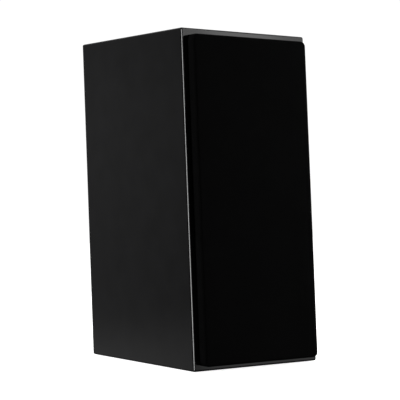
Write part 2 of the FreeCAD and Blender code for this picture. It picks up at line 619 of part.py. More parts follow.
def terminal_cup():
    """Screwed plate with a rectangular recess that keeps the posts inside the cabinet's outline."""
    plate = slab_y(PLATE_W, PLATE_H, PLATE_R, REAR_Y, REAR_Y + REAR_TRIM_T, TERMINAL_AXIS_Z)
    plate = plate.makeFillet(1.0, edges_on_plane_y(plate, REAR_Y + REAR_TRIM_T))
    well = slab_y(CUP_W + 2 * CUP_WALL, CUP_H + 2 * CUP_WALL, CUP_R + CUP_WALL, CUP_FLOOR_Y - CUP_WALL, REAR_Y + 1,
                  TERMINAL_AXIS_Z)
    recess = slab_y(CUP_W, CUP_H, CUP_R, CUP_FLOOR_Y, REAR_Y + REAR_TRIM_T + 1, TERMINAL_AXIS_Z)
    recess = recess.makeFillet(2.5, edges_on_plane_y(recess, CUP_FLOOR_Y))
    tools = [recess]
    tools += [rod_y(sx * POST_X, TERMINAL_AXIS_Z, POST_R + FIT, CUP_FLOOR_Y - CUP_WALL - 1, CUP_FLOOR_Y + 1)
              for sx in (-1, 1)]
    for x, z in plate_screw_spots():
        seat = REAR_Y + REAR_TRIM_T - SMALL_SCREW["head_h"]
        tools.append(rod_y(x, z, SMALL_SCREW["head_r"] + 0.25, seat, REAR_Y + REAR_TRIM_T + 1))
        tools.append(rod_y(x, z, SMALL_SCREW["shank_r"] + 0.2, REAR_Y - 1, REAR_Y + REAR_TRIM_T))
    return cut_all(plate.fuse(well).removeSplitter(), tools)


def post_stud(side):
    """Plated brass stud with a blind bore for a 4 mm plug, and a cross hole for bare wire under the knob."""
    x = side * POST_X
    stud = rod_y(x, TERMINAL_AXIS_Z, POST_R, CUP_FLOOR_Y - 14, POST_END_Y)
    stud = stud.makeChamfer(0.3, edges_on_plane_y(stud, CUP_FLOOR_Y - 14))
    wire_hole = Part.makeCylinder(WIRE_HOLE_R, 4 * POST_R, Vector(x, CUP_FLOOR_Y + COLLAR_T + 1.8,
                                                                  TERMINAL_AXIS_Z - 2 * POST_R), AXIS_Z)
    plug_bore = rod_y(x, TERMINAL_AXIS_Z, POST_BORE_R, POST_END_Y - POST_BORE_DEPTH, POST_END_Y + 1)
    return stud.cut(plug_bore).cut(wire_hole)


def post_collar(side):
    collar = ring_y(side * POST_X, TERMINAL_AXIS_Z, POST_R + FIT, COLLAR_R, CUP_FLOOR_Y, CUP_FLOOR_Y + COLLAR_T)
    outer_rim = [e for e in edges_on_plane_y(collar, CUP_FLOOR_Y + COLLAR_T) if e.Curve.Radius > POST_R + 1]
    return collar.makeFillet(0.6, outer_rim)


def knob_sleeve(side):
    """Threaded brass lining of a knob."""
    return ring_y(side * POST_X, TERMINAL_AXIS_Z, POST_R + FIT, SLEEVE_R, KNOB_START_Y, KNOB_END_Y - 1.5)


def post_knob(side):
    """Fluted plastic knob that screws down its stud."""
    x, z = side * POST_X, TERMINAL_AXIS_Z
    knob = rod_y(x, z, KNOB_R, KNOB_START_Y, KNOB_END_Y)
    knob = knob.makeFillet(1.2, edges_on_plane_y(knob, KNOB_END_Y))
    tools = [rod_y(x, z, SLEEVE_R + FIT, KNOB_START_Y - 1, KNOB_END_Y - 1.5),
             rod_y(x, z, POST_R + 0.3, KNOB_START_Y, KNOB_END_Y + 1)]
    for dx, dz in (polar(KNOB_R + 0.45, a) for a in spread(16)):
        tools.append(rod_y(x + dx, z + dz, 0.95, KNOB_START_Y + 3, KNOB_END_Y + 1))
    return cut_all(knob, tools)


def post_nuts():
    """Hex nuts that hold the studs, inside the cabinet."""
    y1 = CUP_FLOOR_Y - CUP_WALL - LUG_T
    nuts = []
    for side in (-1, 1):
        nut = hex_prism_y(side * POST_X, TERMINAL_AXIS_Z, NUT_AF, y1 - NUT_T, y1)
        nuts.append(nut.cut(rod_y(side * POST_X, TERMINAL_AXIS_Z, POST_R + FIT, y1 - NUT_T - 1, y1 + 1)))
    return Part.makeCompound(nuts)


def post_lugs():
    """Solder lugs under the nuts, each with a tail that a lead is soldered to."""
    y1 = CUP_FLOOR_Y - CUP_WALL
    lugs = []
    for side in (-1, 1):
        x = side * POST_X
        ring = rod_y(x, TERMINAL_AXIS_Z, 5.0, y1 - LUG_T, y1)
        tail = box(x - 1.6, x + 1.6, y1 - LUG_T, y1, TERMINAL_AXIS_Z - 15, TERMINAL_AXIS_Z)
        lug = ring.fuse(tail).removeSplitter()
        lugs.append(lug.cut(rod_y(x, TERMINAL_AXIS_Z, POST_R + FIT, y1 - 2, y1 + 1)))
    return Part.makeCompound(lugs)


def plate_screws():
    seat = REAR_Y + REAR_TRIM_T - SMALL_SCREW["head_h"]
    return Part.makeCompound([screw(SMALL_SCREW, x, z, seat, -1) for x, z in plate_screw_spots()])


# ---------------------------------------------------------------- crossover, on the bottom board
BOARD_X, BOARD_D, BOARD_T, STANDOFF_H = 47.0, 84.0, 1.6, 5.0
BOARD_Y0 = INNER_FRONT_Y + 46.0
BOARD_Z0 = INNER_BOTTOM_Z + STANDOFF_H
BOARD_TOP_Z = BOARD_Z0 + BOARD_T
BOARD_HOLE_INSET = 5.0
BOARD_SCREW_R, BOARD_SCREW_HEAD_R = 1.4, 2.8


def board_corners():
    y0, y1 = BOARD_Y0 + BOARD_HOLE_INSET, BOARD_Y0 + BOARD_D - BOARD_HOLE_INSET
    return [(sx * (BOARD_X - BOARD_HOLE_INSET), y) for sx in (-1, 1) for y in (y0, y1)]


def bottom_panel_with_pilots(panel):
    return cut_all(panel, [rod_z(x, y, BOARD_SCREW_R + FIT, INNER_BOTTOM_Z - 7, INNER_BOTTOM_Z + 1)
                           for x, y in board_corners()])


def crossover_board():
    board = box(-BOARD_X, BOARD_X, BOARD_Y0, BOARD_Y0 + BOARD_D, BOARD_Z0, BOARD_TOP_Z)
    return cut_all(board, [rod_z(x, y, BOARD_SCREW_R + 0.2, BOARD_Z0 - 1, BOARD_TOP_Z + 1) for x, y in board_corners()])


def crossover_standoffs():
    return Part.makeCompound([
        rod_z(x, y, 3.5, INNER_BOTTOM_Z, BOARD_Z0).cut(rod_z(x, y, BOARD_SCREW_R + 0.2, 0, BOARD_Z0 + 1))
        for x, y in board_corners()
    ])


def crossover_screws():
    made = []
    for x, y in board_corners():
        head = rod_z(x, y, BOARD_SCREW_HEAD_R, BOARD_TOP_Z, BOARD_TOP_Z + 1.8)
        head = head.makeFillet(0.9, [e for e in head.Edges if abs(e.BoundBox.ZMin - BOARD_TOP_Z - 1.8) < 1e-6])
        slot = box(x - 0.4, x + 0.4, y - 1.6, y + 1.6, BOARD_TOP_Z + 0.8, BOARD_TOP_Z + 3)
        cross = box(x - 1.6, x + 1.6, y - 0.4, y + 0.4, BOARD_TOP_Z + 0.8, BOARD_TOP_Z + 3)
        shank = rod_z(x, y, BOARD_SCREW_R, INNER_BOTTOM_Z - 6, BOARD_TOP_Z)
        made.append(head.cut(slot.fuse(cross)).fuse(shank))
    return Part.makeCompound(made)


def coil_ring(x, y, inner, outer, height):
    coil = rod_z(x, y, outer, BOARD_TOP_Z, BOARD_TOP_Z + height).cut(rod_z(x, y, inner, 0, TOP_Z))
    return coil.makeFillet(1.5, [e for e in coil.Edges if isinstance(e.Curve, Part.Circle)])


def woofer_inductor():
    return coil_ring(-20, BOARD_Y0 + 56, 11, 24, 20)


def tweeter_inductor():
    return coil_ring(27, BOARD_Y0 + 62, 6, 14, 13)


def lying_can(x0, x1, y, radius):
    """A capacitor on its side, with a bent wire leg at each end."""
    axis_z = BOARD_TOP_Z + radius + 0.2
    can = Part.makeCylinder(radius, x1 - x0, Vector(x0, y, axis_z), AXIS_X)
    can = can.makeFillet(1.0, [e for e in can.Edges if isinstance(e.Curve, Part.Circle)])
    legs = []
    for end, out in ((x0, -1), (x1, 1)):
        start = (end - out * 2, y, axis_z)
        path, _ = wire_path([start, (end + out * 4, y, axis_z), (end + out * 4, y, BOARD_TOP_Z)])
        legs.append(tube_along(path, Vector(*start), AXIS_X * out, 0.4))
    return can.fuse(legs)


def crossover_capacitors():
    return Part.makeCompound([lying_can(-34, 6, BOARD_Y0 + 14, 9.5), lying_can(14, 36, BOARD_Y0 + 32, 7.5)])


def crossover_resistors():
    made = []
    for x0, y0, width in ((-38, BOARD_Y0 + 25, 6.0), (12, BOARD_Y0 + 8, 9.0)):
        block = box(x0, x0 + 26, y0, y0 + width, BOARD_TOP_Z, BOARD_TOP_Z + 9)
        made.append(block.makeFillet(0.6, block.Edges))
    return Part.makeCompound(made)


# ---------------------------------------------------------------- internal leads
def input_lead(side):
    """From a post's solder lug down to the rear edge of the crossover board."""
    x, lug_y = side * POST_X, CUP_FLOOR_Y - CUP_WALL - LUG_T - LEAD_R
    end_y = BOARD_Y0 + BOARD_D - 3
    return [(x, lug_y, TERMINAL_AXIS_Z - 11), (x, lug_y, TERMINAL_AXIS_Z - 25),
            (x + side * 3, lug_y - 5.5, TERMINAL_AXIS_Z - 40.5), (x, end_y, BOARD_TOP_Z + 13),
            (x, end_y, BOARD_TOP_Z)]


def woofer_lead(side):
    """From the front edge of the board up to a connector under the woofer's basket."""
    tab_z = WOOFER_AXIS_Z - TAG_DROP - 0.8
    end_y = BAFFLE_Y + WOOFER_TAB_D + BARREL_START + 1
    x, board_y = side * WOOFER_TAB_X, BOARD_Y0 + 2
    return [(x + side * 2, board_y, BOARD_TOP_Z), (x + side * 2, board_y, BOARD_TOP_Z + 16),
            (x + side * 5, board_y + 3, BOARD_TOP_Z + 32), (x + side * 2, end_y + 16, tab_z - 12),
            (x, end_y + 13, tab_z), (x, end_y, tab_z)]


def tweeter_lead(side):
    """Up the right-hand wall, through the brace's front window, and across to a connector behind the tweeter."""
    tab_x, tab_z = side * TWEETER_TAB_X, TWEETER_AXIS_Z - TWEETER_TAG_DROP
    end_y = BAFFLE_Y + TWEETER_TAB_D + BARREL_START + 1
    y0 = BOARD_Y0 + 22 + side * 2.5
    brace_z = BASE_Z + BRACE_Z
    return [(44, y0, BOARD_TOP_Z), (44, y0, BOARD_TOP_Z + 24), (50, y0 - 6, BOARD_TOP_Z + 58),
            (50, y0 - 11, BOARD_TOP_Z + 106), (41, y0 - 17, brace_z - 14), (38.5, y0 - 21, brace_z + 20),
            (29 + side * 3, y0 - 28, tab_z - 16), (tab_x + 9, end_y + 22 - side * 2, tab_z - 5),
            (tab_x, end_y + 15, tab_z), (tab_x, end_y, tab_z)]


# ---------------------------------------------------------------- every node
def nodes():
    boards = wrap_boards()
    boards["bottom_panel"] = bottom_panel_with_pilots(boards["bottom_panel"])
    made = dict(boards)
    made.update(
        front_baffle=front_baffle(),
        rear_panel=rear_panel(),
        window_brace=window_brace(),
        rubber_feet=feet(),
        wadding_left=wadding(-1),
        wadding_right=wadding(1),
        grille_frame=grille_frame(),
        grille_cloth=grille_cloth(),
        grille_pegs=grille_pegs(),
        grille_sockets=grille_sockets(),
        woofer_frame=woofer_frame(),
        woofer_gasket=driver_gasket(WOOFER_AXIS_Z, WOOFER_HOLE_R + 0.3, WOOFER_R - 0.3, WOOFER_FLANGE_T,
                                    WOOFER_GASKET_T, woofer_screw_spots(), WOOD_SCREW),
        woofer_screws=driver_screws(woofer_screw_spots(), WOOD_SCREW),
        woofer_surround=woofer_surround(),
        woofer_cone=woofer_cone(),
        woofer_dust_cap=woofer_dust_cap(),
        woofer_voice_coil=woofer_voice_coil(),
        woofer_spider=woofer_spider(),
        woofer_top_plate=woofer_top_plate(),
        woofer_magnet=woofer_magnet(),
        woofer_pole_and_back_plate=woofer_pole_and_back_plate(),
        woofer_terminal_tag=woofer_terminal_tag(),
        tweeter_faceplate=tweeter_faceplate(),
        tweeter_gasket=driver_gasket(TWEETER_AXIS_Z, TWEETER_HOLE_R + 0.6, TWEETER_R - 0.3, TWEETER_FLANGE_T,
                                     TWEETER_GASKET_T, tweeter_screw_spots(), SMALL_SCREW),
        tweeter_screws=driver_screws(tweeter_screw_spots(), SMALL_SCREW),
        tweeter_dome=tweeter_dome(),
        tweeter_surround=tweeter_surround(),
        tweeter_voice_coil=tweeter_voice_coil(),
        tweeter_top_plate=tweeter_top_plate(),
        tweeter_magnet=tweeter_magnet(),
        tweeter_yoke=tweeter_yoke(),
        tweeter_terminals=tweeter_terminals(),
        lead_connectors=lead_connectors(),
        port_tube=port_tube(),
        terminal_cup=terminal_cup(),
        terminal_screws=plate_screws(),
        post_nuts=post_nuts(),
        post_lugs=post_lugs(),
        crossover_board=crossover_board(),
        crossover_standoffs=crossover_standoffs(),
        crossover_screws=crossover_screws(),
        crossover_capacitors=crossover_capacitors(),
        crossover_resistors=crossover_resistors(),
        woofer_inductor=woofer_inductor(),
        tweeter_inductor=tweeter_inductor(),
    )
    for colour, side in (("red", -1), ("black", 1)):
        made[f"{colour}_post_stud"] = post_stud(side)
        made[f"{colour}_post_collar"] = post_collar(side)
        made[f"{colour}_knob_sleeve"] = knob_sleeve(side)
        made[f"{colour}_knob"] = post_knob(side)
    for name, route in (("input_leads", input_lead), ("woofer_leads", woofer_lead), ("tweeter_leads", tweeter_lead)):
        made[name] = Part.makeCompound([wire_tube(f"{name} {side:+d}", route(side), LEAD_R) for side in (-1, 1)])
    return made


def main():
    os.makedirs("parts", exist_ok=True)
    made = nodes()
    for name, shape in made.items():
        if not shape.isValid() or not shape.Solids:
            print(f"{name}: NOT VALID")
        shape.exportStep(f"parts/{name}.step")
    print(len(made), "nodes")


main()
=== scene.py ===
import json
import math

import bmesh
import bpy
import numpy as np
from mathutils import Matrix, Vector, noise


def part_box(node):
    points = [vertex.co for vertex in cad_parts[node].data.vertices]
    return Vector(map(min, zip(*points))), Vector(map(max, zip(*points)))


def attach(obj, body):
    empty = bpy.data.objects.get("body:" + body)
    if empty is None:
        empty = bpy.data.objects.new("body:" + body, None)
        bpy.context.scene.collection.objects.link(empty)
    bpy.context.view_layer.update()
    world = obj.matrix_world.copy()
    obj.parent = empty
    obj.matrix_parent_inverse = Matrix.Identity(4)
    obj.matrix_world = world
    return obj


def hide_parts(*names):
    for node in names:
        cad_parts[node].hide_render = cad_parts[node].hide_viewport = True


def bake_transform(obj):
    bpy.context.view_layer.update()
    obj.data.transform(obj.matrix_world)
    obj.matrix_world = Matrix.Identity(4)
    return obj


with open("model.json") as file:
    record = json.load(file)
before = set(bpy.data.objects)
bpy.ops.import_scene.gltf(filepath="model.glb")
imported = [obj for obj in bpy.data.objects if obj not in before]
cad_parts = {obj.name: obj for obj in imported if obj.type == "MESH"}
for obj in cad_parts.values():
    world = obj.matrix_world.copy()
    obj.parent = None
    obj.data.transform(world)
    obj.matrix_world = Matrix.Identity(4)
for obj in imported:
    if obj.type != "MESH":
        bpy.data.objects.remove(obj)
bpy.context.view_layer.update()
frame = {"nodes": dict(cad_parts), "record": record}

MM = 0.001
SCENE = bpy.context.scene

# ------------------------------------------------------------------ places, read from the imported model
BAFFLE_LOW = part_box("front_baffle")[0]
CABINET_LOW, CABINET_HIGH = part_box("side_panel_left")[0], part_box("side_panel_right")[1]
CLOTH_LOW, CLOTH_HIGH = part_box("grille_cloth")
WOOFER_Z = sum(v.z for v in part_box("woofer_magnet")) / 2
TWEETER_Z = sum(v.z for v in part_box("tweeter_magnet")) / 2
BAFFLE_Y = BAFFLE_LOW.y
WOOFER_FACE, TWEETER_FACE = (0, BAFFLE_Y, WOOFER_Z), (0, BAFFLE_Y, TWEETER_Z)


# ------------------------------------------------------------------ material building blocks
TEXTURE_RANGE = (0.3, 0.7)  # the part of a texture's 0 to 1 that tones and roughness run over
MIX_FACTOR, MIX_A, MIX_B, MIX_RESULT = 0, 6, 7, 2  # colour sockets of a Mix node


class Shader:
    """A node material with a Principled BSDF, and short calls that add to it."""

    def __init__(self, name, color, roughness, **constants):
        self.material = bpy.data.materials.new(name)
        self.material.use_nodes = True
        self.material.diffuse_color = (*color, 1)
        self.tree = self.material.node_tree
        self.bsdf = self.tree.nodes["Principled BSDF"]
        self.bsdf.inputs["Base Color"].default_value = (*color, 1)
        self.bsdf.inputs["Roughness"].default_value = roughness
        for socket, value in constants.items():
            self.bsdf.inputs[socket.replace("_", " ")].default_value = value
        self.relief = None

    def node(self, kind, **values):
        made = self.tree.nodes.new(kind)
        for key, value in values.items():
            if key in made.inputs:
                made.inputs[key].default_value = value
            else:
                setattr(made, key, value)
        return made

    def link(self, a, b):
        self.tree.links.new(a, b)

    def coords(self, scale=(1, 1, 1)):
        """Object coordinates in millimetres, stretched by scale."""
        source = self.node("ShaderNodeTexCoord")
        mapping = self.node("ShaderNodeMapping")
        mapping.inputs["Scale"].default_value = [s / MM for s in scale]
        self.link(source.outputs["Object"], mapping.inputs["Vector"])
        return mapping.outputs["Vector"]

    def noise(self, size_mm, detail=2.0, stretch=(1, 1, 1), rough=0.5):
        made = self.node("ShaderNodeTexNoise", Scale=1.0 / size_mm, Detail=detail, Roughness=rough)
        self.link(self.coords(stretch), made.inputs["Vector"])
        return made.outputs["Fac"]

    def cells(self, size_mm, stretch):
        made = self.node("ShaderNodeTexVoronoi", Scale=1.0 / size_mm)
        self.link(self.coords(stretch), made.inputs["Vector"])
        return made.outputs["Distance"]

    def math(self, operation, a, b=0.0):
        made = self.node("ShaderNodeMath", operation=operation)
        for socket, value in zip(made.inputs, (a, b)):
            if isinstance(value, (int, float)):
                socket.default_value = value
            else:
                self.link(value, socket)
        return made.outputs[0]

    def weighted(self, a, share_a, b, share_b):
        return self.math("ADD", self.math("MULTIPLY", a, share_a), self.math("MULTIPLY", b, share_b))

    def remap(self, value, low, high):
        """Runs from low to high over the texture range."""
        made = self.node("ShaderNodeMapRange")
        ends = dict(zip(("From Min", "From Max", "To Min", "To Max"), (*TEXTURE_RANGE, low, high)))
        for key, number in ends.items():
            made.inputs[key].default_value = number
        self.link(value, made.inputs["Value"])
        return made.outputs["Result"]

    def wave(self, axis_vector, pitch_mm):
        """A sine from 0 to 1 along a direction, one period per pitch."""
        dot = self.node("ShaderNodeVectorMath", operation="DOT_PRODUCT")
        self.link(self.coords(), dot.inputs[0])
        dot.inputs[1].default_value = axis_vector
        angle = self.math("MULTIPLY", dot.outputs["Value"], 2 * math.pi / pitch_mm)
        return self.math("MULTIPLY", self.math("ADD", self.math("SINE", angle), 1.0), 0.5)

    def shades(self, value, dark, light):
        """A colour that runs from dark to light over the texture range."""
        ramp = self.node("ShaderNodeValToRGB")
        for stop, place, color in zip(ramp.color_ramp.elements, TEXTURE_RANGE, (dark, light)):
            stop.position = place
            stop.color = (*color, 1)
        self.link(value, ramp.inputs["Fac"])
        return ramp.outputs["Color"]

    def tint(self, value, dark, light):
        self.link(self.shades(value, dark, light), self.bsdf.inputs["Base Color"])

    def vary_roughness(self, value, low, high):
        self.link(self.remap(value, low, high), self.bsdf.inputs["Roughness"])

    def bump(self, value, depth_mm, strength=1.0):
        """Adds relief. Calls stack."""
        made = self.node("ShaderNodeBump", Strength=strength, Distance=depth_mm * MM)
        self.link(value, made.inputs["Height"])
        if self.relief:
            self.link(self.relief, made.inputs["Normal"])
        self.relief = made.outputs["Normal"]
        self.link(self.relief, self.bsdf.inputs["Normal"])


def scaled(color, factor):
    return tuple(c * factor for c in color)


def inside_the_boards(s, depth_mm=6.0):
    """1 on faces that lie deeper than this inside the cabinet's outer box, 0 nearer to its outer faces."""
    low, high = Vector((CABINET_LOW.x, BAFFLE_Y, CABINET_LOW.z)), CABINET_HIGH
    away, split = s.node("ShaderNodeVectorMath", operation="SUBTRACT"), s.node("ShaderNodeSeparateXYZ")
    s.link(s.coords(), away.inputs[0])
    away.inputs[1].default_value = (low + high) / 2 / MM
    s.link(away.outputs["Vector"], split.inputs[0])
    inside = 1.0
    for axis in range(3):
        reach = (high[axis] - low[axis]) / 2 / MM - depth_mm
        within = s.math("LESS_THAN", s.math("ABSOLUTE", split.outputs[axis]), reach)
        inside = s.math("MULTIPLY", within, inside)
    return inside


def lacquer():
    """Glossy black on the cabinet's outer faces, bare wood fibre on its inner ones."""
    s = Shader("lacquer", (0.0035, 0.0035, 0.0038), 0.11, IOR=1.5)
    raw, grain = inside_the_boards(s), s.noise(0.8, 6.0, rough=0.7)
    black = s.shades(s.noise(25, 5.0), (0.0028, 0.0028, 0.003), (0.0045, 0.0045, 0.0048))
    brown = s.shades(grain, (0.34, 0.23, 0.14), (0.48, 0.33, 0.2))
    color = s.node("ShaderNodeMix", data_type="RGBA")
    s.link(raw, color.inputs[MIX_FACTOR])
    s.link(black, color.inputs[MIX_A])
    s.link(brown, color.inputs[MIX_B])
    s.link(color.outputs[MIX_RESULT], s.bsdf.inputs["Base Color"])
    polished, fibrous = s.remap(s.noise(60, 4.0), 0.07, 0.11), s.math("MULTIPLY", raw, 0.8)
    s.link(s.math("MAXIMUM", polished, fibrous), s.bsdf.inputs["Roughness"])
    s.bump(s.noise(2.2, 1.0), 0.004, 0.5)
    s.bump(s.math("MULTIPLY", raw, grain), 0.05, 0.6)
    return s.material


def weave_height(s, pitch, dip=0.45):
    """Plain weave on faces that look along X or Y. A thread dips where it goes under another."""
    across, upright = (1, 1, 0), (0, 0, 1)
    odd_warp = s.math("GREATER_THAN", s.wave(across, pitch * 2), 0.5)
    odd_weft = s.math("GREATER_THAN", s.wave(upright, pitch * 2), 0.5)
    lift = s.math("MULTIPLY", s.math("ABSOLUTE", s.math("SUBTRACT", odd_warp, odd_weft)), dip)
    warp = s.math("MULTIPLY", s.wave(across, pitch), s.math("ADD", lift, 1 - dip))
    weft = s.math("MULTIPLY", s.wave(upright, pitch), s.math("SUBTRACT", 1.0, lift))
    return s.math("MAXIMUM", warp, weft)


def grille_fabric():
    """Near-black woven cloth, with hardly any sheen."""
    s = Shader("grille_fabric", (0.002, 0.002, 0.0021), 0.92, Specular_IOR_Level=0.012)
    height = weave_height(s, 0.8)
    fuzz = s.noise(0.35, 2.0)
    # Colour follows the weave's height: painted highlight on the thread tops and painted shade in the gaps,
    # mixed with a slow random tone.
    weave_shade_and_tone = s.weighted(height, 0.75, s.noise(35, 3.0), 0.3)
    s.tint(weave_shade_and_tone, (0.0004, 0.0004, 0.0004), (0.0035, 0.0035, 0.0036))
    s.vary_roughness(fuzz, 0.85, 0.95)
    s.bump(height, 0.22, 0.8)
    s.bump(fuzz, 0.05, 0.4)
    return s.material


def plain(name, color, roughness, grain_mm=0.8, grain_depth=0.02, patch_mm=20, spread=0.25, **constants):
    """Moulded, cast or painted surface: fine grain, slow changes of tone and of gloss."""
    s = Shader(name, color, roughness, **constants)
    s.tint(s.noise(patch_mm, 4.0), scaled(color, 1 - spread), scaled(color, 1 + spread))
    s.vary_roughness(s.noise(patch_mm * 0.6, 3.0), roughness * 0.85, min(1.0, roughness * 1.18))
    s.bump(s.noise(grain_mm, 3.0), grain_depth, 0.6)
    return s.material


def turned_metal(name, color, roughness, pitch_mm=0.35, depth=0.006):
    """Machined metal with fine tool marks along Y."""
    s = Shader(name, color, roughness, Metallic=1.0)
    s.tint(s.noise(9, 4.0), scaled(color, 0.85), scaled(color, 1.08))
    s.vary_roughness(s.noise(3, 3.0), roughness * 0.7, roughness * 1.4)
    s.bump(s.wave((0, 1, 0), pitch_mm), depth, 0.5)
    return s.material


def threads(name, color, roughness, pitch, depth, directions):
    """Cloth or felt: parallel threads across each of the directions."""
    s = Shader(name, color, roughness)
    height = s.wave(directions[0], pitch)
    for direction in directions[1:]:
        height = s.math("MAXIMUM", height, s.wave(direction, pitch))
    # Colour is darker in the dips between threads and lighter on their tops: painted shade and painted
    # highlight, mixed with a random tone.
    s.tint(s.weighted(height, 0.6, s.noise(6, 3.0), 0.4), scaled(color, 0.55), scaled(color, 1.2))
    s.bump(height, depth, 0.8)
    return s.material


def wadding():
    """Loose fluffy fibre."""
    color = (0.7, 0.7, 0.66)
    s = Shader("wadding", color, 0.95, Sheen_Weight=0.3)
    strands = s.noise(1.5, 8.0, stretch=(1, 3, 1), rough=0.75)
    s.tint(strands, scaled(color, 0.7), scaled(color, 1.1))
    s.bump(strands, 0.4)
    return s.material


def wood_fibre(name, color):
    s = Shader(name, color, 0.8)
    fine = s.noise(0.8, 6.0, rough=0.7)
    s.tint(fine, scaled(color, 0.8), scaled(color, 1.15))
    s.bump(fine, 0.05, 0.6)
    return s.material


def copper_winding():
    s = Shader("copper_winding", (0.55, 0.22, 0.09), 0.28, Metallic=0.9)
    turns = s.wave((0, 0, 1), 1.1)
    # Colour is darker in the grooves between turns and lighter on the ridges: painted shade and painted
    # highlight, mixed with a random tone.
    s.tint(s.weighted(turns, 0.7, s.noise(5, 3.0), 0.3), (0.22, 0.07, 0.025), (0.72, 0.32, 0.14))
    s.vary_roughness(s.noise(4, 3.0), 0.2, 0.38)
    s.bump(turns, 0.3, 0.9)
    return s.material


def circuit_board():
    s = Shader("circuit_board", (0.02, 0.12, 0.04), 0.35)
    lanes = s.cells(9, (1, 1, 0.2))
    s.tint(lanes, (0.012, 0.085, 0.03), (0.03, 0.16, 0.055))
    s.vary_roughness(s.noise(12, 3.0), 0.28, 0.42)
    s.bump(lanes, 0.05, 0.4)
    return s.material


CROSSED, DIAGONAL = [(1, 0, 0), (0, 0, 1)], [(1, 0, 1), (1, 0, -1)]
MATERIALS = {
    "lacquer": lacquer(),
    "grille_cloth": grille_fabric(),
    "mdf": wood_fibre("mdf", (0.42, 0.29, 0.17)),
    "grille_board": wood_fibre("black_board", (0.012, 0.012, 0.012)),
    "black_plastic": plain("black_plastic", (0.012, 0.012, 0.0125), 0.42, 0.55, 0.03),
    "rubber": plain("rubber", (0.014, 0.014, 0.014), 0.75, 0.9, 0.04),
    "surround_rubber": plain("surround_rubber", (0.009, 0.009, 0.0095), 0.48, 0.6, 0.012),
    "foam": plain("foam", (0.02, 0.02, 0.02), 0.95, 0.5, 0.2, spread=0.5),
    "basket": plain("basket_paint", (0.018, 0.018, 0.019), 0.5, 0.45, 0.045),
    "black_screw": turned_metal("black_oxide", (0.05, 0.05, 0.055), 0.32),
    "steel": turned_metal("plated_steel", (0.56, 0.56, 0.57), 0.3),
    "ferrite": plain("ferrite", (0.035, 0.036, 0.04), 0.7, 0.7, 0.05),
    "cone": threads("coated_cone", (0.016, 0.016, 0.0175), 0.5, 1.1, 0.02, DIAGONAL),
    "dust_cap": plain("dust_cap", (0.012, 0.012, 0.013), 0.38, 1.2, 0.01),
    "spider": threads("treated_cloth", (0.42, 0.25, 0.08), 0.8, 0.6, 0.1, CROSSED),
    "copper": copper_winding(),
    "silk": threads("coated_silk", (0.018, 0.018, 0.02), 0.45, 0.3, 0.02, CROSSED),
    "gold_plate": turned_metal("gold_plate", (0.9, 0.62, 0.24), 0.18, 0.3, 0.004),
    "red_plastic": plain("red_plastic", (0.42, 0.008, 0.01), 0.25, 0.9, 0.01, 14, 0.12, IOR=1.49),
    "knob_black": plain("knob_plastic", (0.01, 0.01, 0.0105), 0.25, 0.9, 0.01, 14, 0.2),
    "zinc": turned_metal("zinc", (0.62, 0.62, 0.58), 0.36),
    "circuit_board": circuit_board(),
    "capacitor": plain("film_capacitor", (0.5, 0.3, 0.03), 0.35, 1.5, 0.02, 10, 0.15),
    "cement": plain("cement_resistor", (0.7, 0.68, 0.63), 0.85, 0.5, 0.08, 6, 0.08),
    "nylon": plain("nylon", (0.75, 0.74, 0.68), 0.5, 0.8, 0.02, 8, 0.06),
    "lead_insulation": plain("lead_insulation", (0.012, 0.012, 0.013), 0.45, 1.5, 0.02),
    "wadding": wadding(),
}


# ------------------------------------------------------------------ smooth shading of the carried-over nodes
CREASE = math.radians(28)  # edges sharper than this stay crisp
NODE_SLOTS = {part["node"]: part["material_slot"] for part in frame["record"]["subparts"]}


def smooth_by_angle():
    """Geometry nodes: merged points and smooth shading, with sharp edges left crisp."""
    group = bpy.data.node_groups.new("smooth_by_angle", "GeometryNodeTree")
    group.interface.new_socket("Geometry", in_out="INPUT", socket_type="NodeSocketGeometry")
    group.interface.new_socket("Geometry", in_out="OUTPUT", socket_type="NodeSocketGeometry")
    add, link = group.nodes.new, group.links.new
    start, end = add("NodeGroupInput"), add("NodeGroupOutput")
    merge = add("GeometryNodeMergeByDistance")
    merge.inputs["Distance"].default_value = 1e-7
    faces, edges = add("GeometryNodeSetShadeSmooth"), add("GeometryNodeSetShadeSmooth")
    faces.domain, edges.domain = "FACE", "EDGE"
    edges.inputs["Shade Smooth"].default_value = False
    angle, sharp = add("GeometryNodeInputMeshEdgeAngle"), add("FunctionNodeCompare")
    sharp.operation = "GREATER_THAN"
    sharp.inputs[1].default_value = CREASE
    link(start.outputs[0], merge.inputs["Geometry"])
    link(merge.outputs[0], faces.inputs["Geometry"])
    link(faces.outputs[0], edges.inputs["Geometry"])
    link(angle.outputs["Unsigned Angle"], sharp.inputs[0])
    link(sharp.outputs[0], edges.inputs["Selection"])
    link(edges.outputs[0], end.inputs[0])
    return group


def dress(obj, slot_name):
    obj.data.materials.clear()
    obj.data.materials.append(MATERIALS[slot_name])


def shade(node, group):
    """Smooths the rounds, while the big flat faces beside them stay flat."""
    node.modifiers.new("smooth", "NODES").node_group = group
    flatten = node.modifiers.new("flat_faces_stay_flat", "WEIGHTED_NORMAL")
    flatten.keep_sharp = True
    flatten.weight = 100


smooth_group = smooth_by_angle()
for node_name, node in frame["nodes"].items():
    dress(node, NODE_SLOTS[node_name])
    shade(node, smooth_group)


# ------------------------------------------------------------------ mesh helpers
def mesh_object(name, vertices, faces, slot_name):
    mesh = bpy.data.meshes.new(name)
    mesh.from_pydata([tuple(v) for v in vertices], [], faces)
    mesh.validate()
    mesh.polygons.foreach_set("use_smooth", [True] * len(mesh.polygons))
    mesh.update()
    obj = bpy.data.objects.new(name, mesh)
    SCENE.collection.objects.link(obj)
    dress(obj, slot_name)
    return obj


def quads(rings, around, closed):
    """Faces between rings of points. A closed surface joins its last ring to its first."""
    faces = []
    for k in range(rings if closed else rings - 1):
        here, there = k * around, (k + 1) % rings * around
        for i in range(around):
            j = (i + 1) % around
            faces.append((here + i, there + i, there + j, here + j))
    return faces


